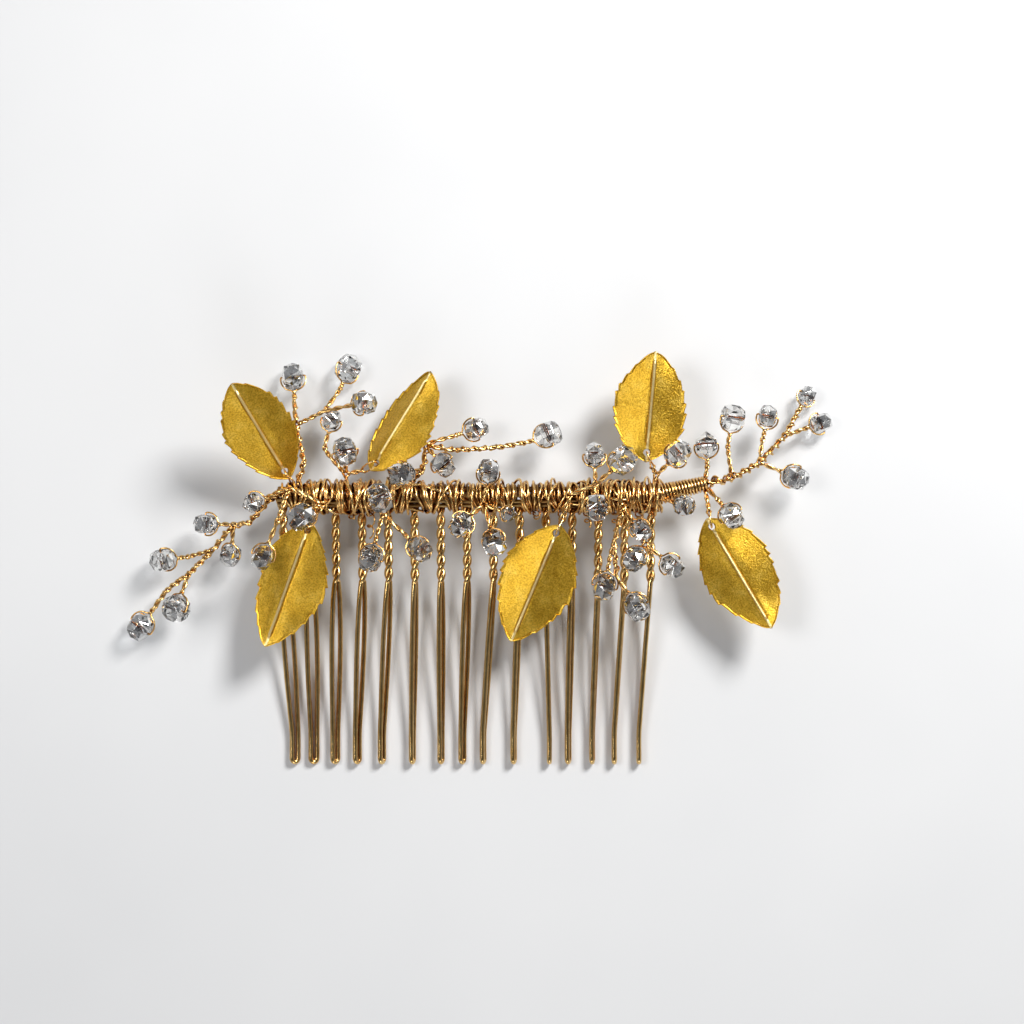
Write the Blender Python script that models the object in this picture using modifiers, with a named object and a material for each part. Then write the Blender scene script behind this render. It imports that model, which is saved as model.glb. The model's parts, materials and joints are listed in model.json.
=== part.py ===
"""A gold wire hair comb with a spray of crystals and leaves bound to its rail.

Every place below is in millimetres from the middle of the rail, with +X along the rail, the teeth
towards -Y and the comb lying flat on Z = 0. The scene's origin is under the middle tooth's foot.
"""

import math

import bmesh
import bpy
import numpy as np
from mathutils import Matrix, Vector

MM = 0.001

# Comb blank
TOOTH_COUNT = 15
TOOTH_PITCH = 4.0
TOOTH_LENGTH = 41.2
COMB_WIRE_RADIUS = 0.4
RAIL_HEIGHT = 6.0
TWIST_START = 1.6
TWIST_END = 13.0
TWIST_RADIUS = 0.56
TWIST_TURNS = 2.75
TWIST_STEPS = 11
FOOT_START = 36.5
TIP_RADIUS = 0.5
BELLY = ((15.5, 0.62), (20.5, 0.8), (27.5, 0.76), (33.0, 0.6))
TOOTH_LEAN = (1.4, 0.3, -0.4, -1.0, -1.2, -0.5, -0.1, -0.8, -1.6, -0.9, 0.6, -0.5, -0.8, -1.4, -1.6)
LOOP_TURN_DEGREES = (62, 68, 49, 37, 30, 18, 22, 30, 15, 15, 2, 18, 11, 7, 4)
RAIL_CORNER = 0.95
FLAT_OF_SQUARE = COMB_WIRE_RADIUS * math.cos(math.pi / 4)

# Thin wires
SPRAY_WIRE_RADIUS = 0.175
STRAND_GAP = 0.5
BINDING_WIRE_RADIUS = 0.2
BINDING_COIL_RADIUS = 1.95
BINDING_TURNS = TOOTH_COUNT - 1
STEM_COIL_RADIUS = 1.2
STEM_COIL_TURNS = 4.0
COIL_STEPS = 8

# Crystals
HOLE_RADIUS = 0.45
CRYSTAL_SEGMENTS = 6
HOLE_LENGTH = 0.78
GIRDLE_HALF = 0.35
TABLE_RADIUS = 0.5

# Leaves
LEAF_THICKNESS = 0.36
LEAF_HOLE_RADIUS = 0.62
LEAF_BASE = 1.35
LEAF_TEETH = 9
LEAF_SERRATION = 0.28
LEAF_FOLD = 0.3

CRYSTALS = {
    "left_1": ((-39.9, -4.1, 4.5), 3.6, 0),
    "left_2": ((-36.2, -8.9, 3.5), 3.4, 25),
    "left_3": ((-46.6, -9.6, 3.5), 3.9, -20),
    "left_4": ((-44.4, -17.0, 4.5), 4.0, 30),
    "left_5": ((-50.2, -19.9, 2.15), 4.2, 10),
    "left_6": ((-32.3, -0.9, 8.2), 3.3, 0),
    "left_7": ((-24.7, -3.0, 12.0), 4.3, 15),
    "left_8": ((-30.6, -9.1, 10.6), 3.7, 0),
    "upper_1": ((-26.8, 18.5, 2.02), 4.0, 0),
    "upper_2": ((-18.3, 19.8, 2.12), 4.2, 30),
    "upper_3": ((-15.4, 14.1, 10.4), 3.9, -15),
    "upper_4": ((-20.7, 11.8, 4.0), 3.2, 0),
    "upper_5": ((-18.2, 6.8, 11.0), 4.2, 20),
    "middle_1": ((-9.8, 3.4, 11.2), 4.2, 0),
    "middle_2": ((-12.9, -0.2, 13.0), 4.4, 20),
    "middle_3": ((-3.5, 4.8, 9.0), 3.7, 0),
    "middle_4": ((1.4, 10.4, 5.0), 3.7, 10),
    "middle_5": ((12.4, 9.5, 5.0), 4.0, -15),
    "middle_6": ((3.3, 3.9, 9.5), 3.7, 15),
    "middle_7": ((-0.8, -4.2, 11.5), 3.9, 0),
    "middle_8": ((4.2, -6.9, 10.0), 3.8, 15),
    "middle_9": ((6.4, -2.6, 11.0), 2.4, 0),
    "middle_10": ((-14.4, -9.3, 10.0), 4.0, 10),
    "middle_11": ((-7.0, -7.9, 10.0), 3.8, -20),
    "right_1": ((19.3, 6.4, 7.5), 3.6, 0),
    "right_2": ((23.4, 5.5, 12.5), 4.4, 20),
    "right_3": ((31.7, 6.5, 11.0), 4.1, -10),
    "right_4": ((36.2, 7.9, 8.0), 3.8, 0),
    "right_5": ((40.3, 12.0, 6.5), 3.9, 15),
    "right_6": ((45.8, 12.3, 5.0), 3.4, 0),
    "right_7": ((52.2, 15.6, 1.55), 3.0, 10),
    "right_8": ((54.3, 11.4, 1.72), 3.4, 0),
    "right_9": ((50.1, 3.0, 4.5), 4.1, 20),
    "right_10": ((39.8, -2.9, 11.0), 3.9, 0),
    "right_11": ((32.7, -1.3, 10.6), 3.3, 30),
    "right_12": ((19.5, -1.6, 12.0), 4.0, 0),
    "right_13": ((26.2, -5.1, 10.4), 3.3, 0),
    "right_14": ((25.3, -9.4, 9.0), 3.8, 20),
    "right_15": ((20.8, -13.6, 8.0), 4.1, 0),
    "right_16": ((25.8, -16.7, 7.5), 4.2, 15),
    "right_17": ((31.1, -10.5, 8.0), 3.6, 0),
}

# name: hole at the base, tip, width, roll about its length in degrees
LEAVES = {
    "leaf_upper_left": ((-27.6, 3.9, 6.8), (-34.6, 16.6, 15.5), 10.6, 0),
    "leaf_upper_middle": ((-13.7, 5.1, 7.4), (-5.3, 18.8, 6.6), 11.4, -38),
    "leaf_lower_left": ((-24.0, -5.0, 9.0), (-30.4, -22.6, 7.2), 10.6, 12),
    "leaf_lower_middle": ((13.5, -5.5, 8.6), (6.7, -21.9, 7.0), 11.4, 0),
    "leaf_upper_right": ((27.2, 6.7, 8.2), (28.5, 21.8, 9.5), 11.2, 0),
    "leaf_lower_right": ((37.0, -4.5, 8.2), (46.1, -19.7, 7.6), 11.0, 10),
}


def stem(point, *branches):
    """A bend or fork of a stem at a point; each branch is another stem, a crystal's or a leaf's name."""
    return Vector(point), branches


SPRAYS = {
    "left_spray_wire": stem(
        (-23.0, 0.6, 7.1),
        stem(
            (-28.8, 0.3, 7.2),
            stem(
                (-33.2, -3.9, 6.4),
                stem(
                    (-35.4, -4.2, 6.0),
                    "left_1",
                    stem(
                        (-38.9, -8.1, 5.0),
                        stem((-42.6, -9.1, 4.2), "left_3"),
                        stem((-42.6, -11.9, 4.2), "left_4", stem((-45.9, -14.2, 3.2), "left_5")),
                    ),
                    "left_2",
                ),
            ),
        ),
    ),
    "left_front_spray_wire": stem(
        (-17.2, -0.2, 7.2),
        stem(
            (-21.0, -0.2, 7.3),
            stem(
                (-21.6, -1.2, 9.6),
                "leaf_lower_left",
                "left_7",
                stem((-26.6, 1.2, 9.4), "left_6", stem((-28.4, -3.6, 10.2), "left_8")),
            ),
        ),
    ),
    "upper_left_spray_wire": stem(
        (-22.4, 1.1, 5.9),
        stem(
            (-26.0, 1.1, 5.9),
            "leaf_upper_left",
            stem(
                (-24.9, 5.0, 5.6),
                stem(
                    (-26.0, 11.0, 4.6),
                    "upper_1",
                    stem((-22.3, 13.3, 4.9), stem((-19.4, 16.6, 3.4), "upper_2"), "upper_3"),
                ),
            ),
        ),
    ),
    "upper_middle_spray_wire": stem(
        (-14.4, 1.1, 5.9),
        stem(
            (-18.0, 1.1, 5.9),
            stem(
                (-18.4, 3.4, 6.4),
                stem((-21.6, 7.4, 5.4), "upper_4"),
                "upper_5",
                "leaf_upper_middle",
            ),
        ),
    ),
    "middle_spray_wire": stem(
        (-6.4, 1.1, 5.9),
        stem(
            (-10.0, 1.1, 5.9),
            stem(
                (-6.8, 4.1, 6.4),
                "middle_1",
                stem(
                    (-6.2, 7.8, 6.4),
                    stem((-1.6, 9.4, 5.6), "middle_4"),
                    stem(
                        (-2.2, 7.2, 6.2),
                        stem((5.0, 7.6, 6.0), stem((9.6, 8.4, 5.4), "middle_5")),
                    ),
                    "middle_3",
                ),
            ),
        ),
    ),
    "middle_front_spray_wire": stem(
        (-9.4, -0.2, 7.2),
        stem(
            (-13.0, -0.2, 7.3),
            stem((-12.6, -2.6, 9.0), "middle_10", "middle_11", "middle_2"),
        ),
    ),
    "middle_lower_spray_wire": stem(
        (-1.2, -0.2, 7.2),
        stem(
            (3.0, -0.2, 7.3),
            stem((2.6, -1.0, 8.8), "middle_6", "middle_9", "middle_8", "middle_7"),
        ),
    ),
    "right_front_spray_wire": stem(
        (11.6, -0.2, 7.2),
        stem(
            (15.0, -0.2, 7.3),
            stem(
                (15.6, 0.2, 8.8),
                "leaf_lower_middle",
                stem((19.4, 1.8, 9.6), "right_1", "right_2", "right_12"),
            ),
        ),
    ),
    "right_lower_spray_wire": stem(
        (19.4, -0.2, 7.2),
        stem(
            (23.0, -0.2, 7.3),
            stem(
                (23.6, -1.4, 9.0),
                stem((22.2, -7.2, 8.6), "right_15", stem((22.9, -12.0, 8.0), "right_16")),
                stem((27.0, -7.0, 8.2), "right_14", "right_17"),
                "right_13",
            ),
        ),
    ),
    "right_spray_wire": stem(
        (24.6, 0.0, 7.15),
        stem(
            (28.4, 0.2, 7.2),
            stem((28.6, 3.2, 8.0), "leaf_upper_right", "right_3"),
            "right_11",
            stem(
                (36.0, 2.0, 6.8),
                stem((36.4, 4.6, 7.0), "right_4"),
                stem(
                    (40.2, 2.9, 6.5),
                    stem((39.6, 7.6, 6.5), "right_5"),
                    stem(
                        (44.4, 5.2, 5.9),
                        stem((45.0, 8.8, 5.4), "right_6"),
                        stem((48.5, 9.3, 4.0), "right_7", "right_8"),
                        "right_9",
                    ),
                ),
                stem((37.9, -0.4, 9.0), "right_10"),
                "leaf_lower_right",
            ),
        ),
    ),
}


def shade(name, colour, roughness, metallic):
    material = bpy.data.materials.new(name)
    material.use_nodes = True
    finish = material.node_tree.nodes["Principled BSDF"]
    finish.inputs["Base Color"].default_value = (*colour, 1)
    finish.inputs["Roughness"].default_value = roughness
    finish.inputs["Metallic"].default_value = metallic
    material.diffuse_color = (*colour, 1)
    return material


def place(obj, material):
    """Gives an object its finish and hangs it on the comb's frame."""
    obj.data.materials.clear()
    obj.data.materials.append(material)
    obj.parent = frame
    collection.objects.link(obj)
    return obj


def wire(name, points, radius, material, tilts=None):
    """A square-section wire along points, made as a bevelled curve with filled ends."""
    curve = bpy.data.curves.new(name, "CURVE")
    curve.dimensions = "3D"
    curve.bevel_depth = radius * MM
    curve.bevel_resolution = 0
    curve.use_fill_caps = True
    spline = curve.splines.new("POLY")
    spline.points.add(len(points) - 1)
    for index, point in enumerate(points):
        spline.points[index].co = (*(Vector(point) * MM), 1)
        if tilts is not None:
            spline.points[index].tilt = tilts[index]
    return place(bpy.data.objects.new(name, curve), material)


# Comb blank


def tooth_x(number):
    return (number - (TOOTH_COUNT - 1) / 2) * TOOTH_PITCH


def loop_turn(number):
    """How far a tooth's two legs are turned from standing one above the other, the upper one to the left."""
    return math.radians(LOOP_TURN_DEGREES[number])


def tooth_centre(number, down):
    """The middle of a tooth at a distance down from the rail: it slopes to a flat foot and leans a little."""
    foot_height = FLAT_OF_SQUARE + TIP_RADIUS * math.cos(loop_turn(number))
    rise = max(0.0, 1 - down / FOOT_START) ** 1.3
    lean = TOOTH_LEAN[number] * min(1.0, max(0.0, (down - TWIST_END) / (FOOT_START - TWIST_END)))
    height = foot_height + (RAIL_HEIGHT - foot_height) * rise
    return Vector((tooth_x(number) + lean, -down, height))


def tooth_leg(number):
    """The points of a tooth's first leg from the rail to its tip, as (point, offset) pairs."""
    last_angle = math.pi + 2 * math.pi * TWIST_TURNS + loop_turn(number)
    leg = []
    for step in range(TWIST_STEPS + 1):
        share = step / TWIST_STEPS
        angle = math.pi + (last_angle - math.pi) * share
        offset = TWIST_RADIUS * Vector((math.cos(angle), 0, math.sin(angle)))
        leg.append((tooth_centre(number, TWIST_START + (TWIST_END - TWIST_START) * share), offset))
    across = Vector((math.cos(last_angle), 0, math.sin(last_angle)))
    tip_centre = TOOTH_LENGTH - COMB_WIRE_RADIUS - TIP_RADIUS
    stations = [*BELLY, (FOOT_START, TIP_RADIUS), (tip_centre, TIP_RADIUS)]
    leg += [(tooth_centre(number, down), half * across) for down, half in stations]
    around = math.pi / 4
    below = tooth_centre(number, tip_centre + TIP_RADIUS * math.sin(around))
    leg.append((below, TIP_RADIUS * math.cos(around) * across))
    return leg


def comb_path():
    """The whole blank as one wire: along the rail, down and up each tooth. Also the indices of the feet."""
    points = [Vector((tooth_x(0) - 2 * RAIL_CORNER, 0, RAIL_HEIGHT))]
    feet = []
    for number in range(TOOTH_COUNT):
        leg = tooth_leg(number)
        points.append(Vector((tooth_x(number) - RAIL_CORNER, 0, RAIL_HEIGHT)))
        points += [centre + offset for centre, offset in leg]
        points.append(tooth_centre(number, TOOTH_LENGTH - COMB_WIRE_RADIUS))
        back = [centre - offset for centre, offset in reversed(leg)]
        feet += [len(points) + 1, len(points) + 2]
        points += back
        points.append(Vector((tooth_x(number) + RAIL_CORNER, 0, RAIL_HEIGHT)))
    points.append(Vector((tooth_x(TOOTH_COUNT - 1) + 2 * RAIL_CORNER, 0, RAIL_HEIGHT)))
    return points, feet


def flat_tilts(points, feet):
    """Curve tilts that turn the square section flat side down at the feet.

    It follows the curve's own minimum-twist frames and spreads what is missing between the feet.
    """
    steps = [(after - before).normalized() for before, after in zip(points, points[1:])]
    ways = [steps[0]] + [(a + b).normalized() for a, b in zip(steps, steps[1:])] + [steps[-1]]
    turn = ways[0].to_track_quat("Z", "Y")
    quarter = math.pi / 2
    kept, wanted = [], []
    for index, way in enumerate(ways):
        if index:
            turn = ways[index - 1].rotation_difference(way) @ turn
        if index not in feet:
            continue
        side = turn @ Vector((1, 0, 0))
        up = (Vector((0, 0, 1)) - way * way.z).normalized()
        missing = math.atan2(side.cross(up).dot(way), side.dot(up)) - math.pi / 4
        before = wanted[-1] if wanted else missing
        kept.append(index)
        wanted.append(missing - quarter * round((missing - before) / quarter))
    return np.interp(range(len(points)), kept, wanted)


# Spray wires


def left_of(way):
    return Vector((-way.y, way.x, 0)).normalized()


def corner(point, way_in, way_out):
    """Where the strand on the left of a bend passes it."""
    side_in, side_out = left_of(way_in), left_of(way_out)
    reach = STRAND_GAP / 2 / max(0.3, (1 + side_in.dot(side_out)))
    return point + (side_in + side_out) * reach


def crystal_axis(name, way):
    """The direction of a crystal's hole: across its stem, turned about the stem by its own angle."""
    turn = Matrix.Rotation(math.radians(CRYSTALS[name][2]), 3, way)
    return (turn @ left_of(way)).normalized()


def crystal_loop(name, base):
    """The wire up one side of a crystal, through its hole and down the other side."""
    centre, diameter, _ = CRYSTALS[name]
    radius, half = diameter / 2, diameter / 2 * HOLE_LENGTH
    way = (Vector(centre) - base).normalized()
    axis = crystal_axis(name, way)
    side = [
        (STRAND_GAP / 2, radius + 0.75),
        (0.62 * half + 0.29, 0.78 * radius + 0.39),
        (half + 0.45, 0.5 * radius),
        (half + 0.4, 0),
    ]
    up = [Vector(centre) + axis * out - way * down for out, down in side]
    down = [Vector(centre) - axis * out - way * down for out, down in reversed(side)]
    return up + down


def leaf_axes(name):
    """(across, along, normal) of a leaf."""
    base, tip, _, roll = LEAVES[name]
    along = (Vector(tip) - Vector(base)).normalized()
    across = along.cross(Vector((0, 0, 1))).normalized()
    across = Matrix.Rotation(math.radians(roll), 3, along) @ across
    return across, along, across.cross(along)


def leaf_loop(name, base):
    """The wire over a leaf's base edge, down through its hole and back under it."""
    hole = Vector(LEAVES[name][0])
    normal = leaf_axes(name)[2]
    way = (hole - base).normalized()
    way = (way - normal * way.dot(normal)).normalized()
    aside = left_of(way) * STRAND_GAP / 2
    over = [
        hole - way * 2.2 + aside + normal * 0.3,
        hole - way * 1.1 + normal * 0.95,
        hole + normal * 0.7,
    ]
    under = [
        hole - normal * 0.6,
        hole - way * 1.1 - normal * 0.75,
        hole - way * 2.2 - aside - normal * 0.3,
    ]
    return over + under


def end_point(branch):
    if isinstance(branch, str):
        place_of = CRYSTALS[branch][0] if branch in CRYSTALS else LEAVES[branch][0]
        return Vector(place_of)
    return branch[0]


def walk(point, branches, way_in):
    """Follows one wire out and back round every branch of a stem, keeping the stem on its right."""

    def turned(branch):
        way = end_point(branch) - point
        return way_in.to_2d().angle_signed(way.to_2d(), 0)

    path = []
    way = way_in
    for branch in sorted(branches, key=turned):
        out = end_point(branch) - point
        path.append(corner(point, way, out))
        if not isinstance(branch, str):
            path += walk(branch[0], branch[1], out)
        elif branch in CRYSTALS:
            path += crystal_loop(branch, point)
        else:
            path += leaf_loop(branch, point)
        way = -out
    path.append(corner(point, way, -way_in))
    return path


def spray_path(root):
    point, branches = root
    way = branches[0][0] - point
    aside = left_of(way) * STRAND_GAP / 2
    return [point + aside, *walk(branches[0][0], branches[0][1], way), point - aside]


def bases(point, branches):
    """(name, the point its stem leaves from) for everything a stem carries."""
    for branch in branches:
        if isinstance(branch, str):
            yield branch, point
        else:
            yield from bases(*branch)


# Bindings


def coil(start, end, radius, turns, first_angle):
    """A helix about the line from start to end. Angle 0 is +Y and a quarter turn on is +Z."""
    along = Vector(end) - Vector(start)
    side = Vector((0, 0, 1)).cross(along).normalized()
    lift = along.normalized().cross(side)
    steps = round(turns * COIL_STEPS)
    points = []
    for step in range(steps + 1):
        angle = first_angle + 2 * math.pi * step / COIL_STEPS
        around = side * math.cos(angle) + lift * math.sin(angle)
        points.append(Vector(start) + along * step / steps + around * radius)
    return points


# Crystals and leaves


def crystal_mesh(diameter):
    """A drilled crystal: a turned profile with two tables, two bevels and a girdle."""
    radius, half = diameter / 2, diameter / 2 * HOLE_LENGTH
    profile = [
        (HOLE_RADIUS, half),
        (TABLE_RADIUS * radius + 0.1, half),
        (radius, GIRDLE_HALF * half),
        (radius, -GIRDLE_HALF * half),
        (TABLE_RADIUS * radius + 0.1, -half),
        (HOLE_RADIUS, -half),
    ]
    mesh = bpy.data.meshes.new("crystal")
    points = [(out * MM, 0, height * MM) for out, height in profile]
    edges = [(index, (index + 1) % len(points)) for index in range(len(points))]
    mesh.from_pydata(points, edges, [])
    return mesh


def crystal(name, base):
    centre, diameter, _ = CRYSTALS[name]
    way = (Vector(centre) - base).normalized()
    axis = crystal_axis(name, way)
    obj = bpy.data.objects.new("crystal_" + name, crystal_mesh(diameter))
    turned = obj.modifiers.new("turned", "SCREW")
    turned.steps = turned.render_steps = CRYSTAL_SEGMENTS
    turned.use_merge_vertices = True
    turned.merge_threshold = 0.00001
    turned.use_normal_calculate = True
    across = way.cross(axis).normalized()
    facing = Matrix((across, axis.cross(across), axis)).transposed().to_4x4()
    place(obj, crystal_clear)
    obj.matrix_basis = Matrix.Translation(Vector(centre) * MM) @ facing
    return obj


def leaf_outline(length, width):
    """Half a leaf's edge from base to tip, serrated."""
    steps = 2 * LEAF_TEETH
    points = []
    for step in range(1, steps):
        share = step / steps
        half = width / 2 * math.sin(math.pi * share**0.95) ** 0.68
        notch = LEAF_SERRATION if step % 2 else 0
        points.append((half - notch, share * (length + LEAF_BASE) - LEAF_BASE))
    return points


def leaf(name):
    base, tip, width, _ = LEAVES[name]
    length = (Vector(tip) - Vector(base)).length
    half = leaf_outline(length, width)
    outline = [(0, -LEAF_BASE), *half, (0, length), *[(-x, y) for x, y in reversed(half)]]
    corners = 8
    hole = [
        (LEAF_HOLE_RADIUS * math.sin(turn), LEAF_HOLE_RADIUS * math.cos(turn))
        for turn in (2 * math.pi * (step + 0.5) / corners for step in range(corners))
    ]
    curve = bpy.data.curves.new(name, "CURVE")
    curve.dimensions = "2D"
    curve.fill_mode = "BOTH"
    curve.extrude = LEAF_THICKNESS / 2 * MM
    for ring in (outline, hole):
        spline = curve.splines.new("POLY")
        spline.use_cyclic_u = True
        spline.points.add(len(ring) - 1)
        for point, (x, y) in zip(spline.points, ring):
            point.co = (x * MM, y * MM, 0, 1)
    flat = bpy.data.objects.new(name + "_flat", curve)
    collection.objects.link(flat)
    graph = bpy.context.evaluated_depsgraph_get()
    mesh = bpy.data.meshes.new_from_object(flat.evaluated_get(graph))
    bpy.data.objects.remove(flat)
    fold(mesh)
    across, along, normal = leaf_axes(name)
    facing = Matrix((across, along, normal)).transposed().to_4x4()
    obj = place(bpy.data.objects.new(name, mesh), leaf_gold)
    obj.matrix_basis = Matrix.Translation(Vector(base) * MM) @ facing
    return obj


def fold(mesh):
    """Creases a flat leaf along its midrib, so that both halves rise to a V."""
    shape = bmesh.new()
    shape.from_mesh(mesh)
    bmesh.ops.remove_doubles(shape, verts=shape.verts, dist=0.000001)
    everything = [*shape.verts, *shape.edges, *shape.faces]
    bmesh.ops.bisect_plane(shape, geom=everything, plane_co=(0, 0, 0), plane_no=(1, 0, 0), dist=1e-7)
    for vertex in shape.verts:
        vertex.co.z -= LEAF_FOLD * abs(vertex.co.x)
    shape.to_mesh(mesh)
    shape.free()


for old in list(bpy.data.objects):
    bpy.data.objects.remove(old)

collection = bpy.data.collections.new("decorative_hair_comb")
bpy.context.scene.collection.children.link(collection)
middle = TOOTH_COUNT // 2
foot_middle = (FOOT_START + TOOTH_LENGTH - COMB_WIRE_RADIUS - TIP_RADIUS) / 2
frame = bpy.data.objects.new("rail_middle", None)
foot_x = TOOTH_LEAN[middle] + TIP_RADIUS * math.sin(loop_turn(middle))
frame.location = (-foot_x * MM, foot_middle * MM, 0)
collection.objects.link(frame)

wire_gold = shade("wire_gold", (0.71, 0.46, 0.18), 0.25, 1.0)
leaf_gold = shade("leaf_gold", (0.78, 0.56, 0.09), 0.42, 1.0)
crystal_clear = shade("crystal_clear", (0.86, 0.88, 0.9), 0.05, 0.0)

comb_points, foot_indices = comb_path()
comb_tilts = flat_tilts(comb_points, foot_indices)
wire("comb_wire", comb_points, COMB_WIRE_RADIUS, wire_gold, comb_tilts)

coil_half = BINDING_TURNS / 2 * TOOTH_PITCH
wire(
    "binding_wire",
    coil((-coil_half, 0, RAIL_HEIGHT), (coil_half, 0, RAIL_HEIGHT), BINDING_COIL_RADIUS, BINDING_TURNS, 0),
    BINDING_WIRE_RADIUS,
    wire_gold,
)
wire(
    "stem_binding_wire",
    coil((30.4, 0.6, 7.1), (34.6, 1.6, 6.9), STEM_COIL_RADIUS, STEM_COIL_TURNS, 0),
    BINDING_WIRE_RADIUS,
    wire_gold,
)

for spray, root in SPRAYS.items():
    wire(spray, spray_path(root), SPRAY_WIRE_RADIUS, wire_gold)
    for carried, base in bases(*root):
        if carried in CRYSTALS:
            crystal(carried, base)
        else:
            leaf(carried)
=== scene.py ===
import collections
import json
import math
import random

import bmesh
import bpy
from mathutils import Matrix, Vector, noise


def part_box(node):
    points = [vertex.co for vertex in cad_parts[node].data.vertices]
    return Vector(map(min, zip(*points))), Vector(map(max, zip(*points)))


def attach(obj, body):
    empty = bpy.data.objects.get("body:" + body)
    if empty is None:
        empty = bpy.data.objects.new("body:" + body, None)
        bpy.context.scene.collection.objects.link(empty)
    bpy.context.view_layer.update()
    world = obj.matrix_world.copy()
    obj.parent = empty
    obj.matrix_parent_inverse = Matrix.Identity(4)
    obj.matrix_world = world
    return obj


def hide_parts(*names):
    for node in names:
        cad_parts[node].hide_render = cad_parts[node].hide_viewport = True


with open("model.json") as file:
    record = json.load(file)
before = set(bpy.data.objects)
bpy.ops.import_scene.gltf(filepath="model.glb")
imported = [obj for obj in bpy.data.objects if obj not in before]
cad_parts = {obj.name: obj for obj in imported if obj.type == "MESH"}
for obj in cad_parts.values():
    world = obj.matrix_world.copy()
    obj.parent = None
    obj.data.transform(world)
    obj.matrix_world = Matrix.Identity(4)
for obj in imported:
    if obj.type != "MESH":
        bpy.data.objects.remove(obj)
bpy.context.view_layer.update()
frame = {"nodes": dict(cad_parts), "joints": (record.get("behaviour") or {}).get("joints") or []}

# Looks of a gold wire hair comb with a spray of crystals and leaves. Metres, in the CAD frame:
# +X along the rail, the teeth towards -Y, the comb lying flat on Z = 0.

MM = 0.001
ROOT = "comb"

COMB_WIRE_RADIUS = 0.39 * MM
TOOTH_TWIST_RADIUS = 0.32 * MM
SPRAY_WIRE_RADIUS = 0.2 * MM
LOOP_WIDTH = 0.68
BINDING_WIRE_RADIUS = 0.18 * MM
CORE_WIRE_RADIUS = 0.3 * MM

TWIST_PITCH = 2.5 * MM
TWISTED_HALF_GAP = 0.19 * MM
TWIST_SAMPLE = 0.16 * MM
BEND_SAMPLE = 0.25 * MM
STEM_WANDER = 0.1 * MM
STEM_WANDER_SEED = 1

FLOOR_DROP = 0.13 * MM
CAMERA_DISTANCE = 370 * MM
VIEW_WIDTH = 155.6 * MM
VIEW_CENTRE_FROM_RAIL = Vector((6.84, -2.28, 0)) * MM

UP = Vector((0, 0, 1))
RAIL_LOW, RAIL_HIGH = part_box("binding_wire")


# Materials


def new_material(name):
    material = bpy.data.materials.new(name)
    material.use_nodes = True
    nodes, links = material.node_tree.nodes, material.node_tree.links
    return material, nodes, links, nodes["Principled BSDF"]


def add_noise(nodes, links, scale, detail=4.0, roughness=0.6):
    """A noise texture in object space. Scale is in features per metre."""
    place = nodes.get("Place") or nodes.new("ShaderNodeTexCoord")
    place.name = "Place"
    texture = nodes.new("ShaderNodeTexNoise")
    texture.inputs["Scale"].default_value = scale
    texture.inputs["Detail"].default_value = detail
    texture.inputs["Roughness"].default_value = roughness
    links.new(place.outputs["Object"], texture.inputs["Vector"])
    return texture


def add_ramp(nodes, links, source, stops):
    """A colour ramp driven by source; stops are (position, (r, g, b))."""
    ramp = nodes.new("ShaderNodeValToRGB")
    elements = ramp.color_ramp.elements
    while len(elements) < len(stops):
        elements.new(0.5)
    for element, (position, colour) in zip(elements, stops):
        element.position = position
        element.color = (*colour, 1)
    links.new(source, ramp.inputs["Fac"])
    return ramp


def add_span(nodes, links, source, low, high):
    """Spreads a source that goes from 0 to 1 over low to high."""
    span = nodes.new("ShaderNodeMapRange")
    span.inputs["To Min"].default_value = low
    span.inputs["To Max"].default_value = high
    links.new(source, span.inputs["Value"])
    return span


def add_bump(nodes, links, source, finish, strength, distance):
    bump = nodes.new("ShaderNodeBump")
    bump.inputs["Strength"].default_value = strength
    bump.inputs["Distance"].default_value = distance
    links.new(source, bump.inputs["Height"])
    links.new(bump.outputs["Normal"], finish.inputs["Normal"])


def multiply(nodes, links, first, second):
    mix = nodes.new("ShaderNodeMix")
    mix.data_type = "RGBA"
    mix.blend_type = "MULTIPLY"
    mix.inputs["Factor"].default_value = 1
    links.new(first, mix.inputs["A"])
    links.new(second, mix.inputs["B"])
    return mix.outputs["Result"]


def shade_crevices(nodes, links, distance, stops):
    """Painted shade: a colour that goes from the first stop in crevices to the last on open surfaces."""
    occlusion = nodes.new("ShaderNodeAmbientOcclusion")
    occlusion.samples = 6
    occlusion.inputs["Distance"].default_value = distance
    return add_ramp(nodes, links, occlusion.outputs["AO"], stops).outputs["Color"]


def wire_gold(name, roughness, shade):
    """Polished gold wire, lightly drawn and worn, with painted shade, warm and dark, where wires crowd
    together.
    """
    material, nodes, links, finish = new_material(name)
    patches = add_noise(nodes, links, 700, 3)
    dull = (0.68 * shade, 0.42 * shade, 0.14 * shade)
    bright = (0.84 * shade, 0.6 * shade, 0.27 * shade)
    base = add_ramp(nodes, links, patches.outputs["Fac"], [(0.3, dull), (0.7, bright)])
    # Painted shade: the colour turns dark red-brown in crevices, where the wires shade each other.
    crevice_shade_stops = [(0.1, (0.34, 0.12, 0.03)), (0.6, (0.74, 0.55, 0.38)), (0.93, (1, 1, 1))]
    painted_crevice_shade = shade_crevices(nodes, links, 1.2 * MM, crevice_shade_stops)
    links.new(multiply(nodes, links, base.outputs["Color"], painted_crevice_shade), finish.inputs["Base Color"])
    finish.inputs["Metallic"].default_value = 1
    wear = add_noise(nodes, links, 2500, 4)
    span = add_span(nodes, links, wear.outputs["Fac"], roughness * 0.7, roughness * 1.5)
    links.new(span.outputs["Result"], finish.inputs["Roughness"])
    add_bump(nodes, links, wear.outputs["Fac"], finish, 0.12, 0.02 * MM)
    return material


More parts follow.
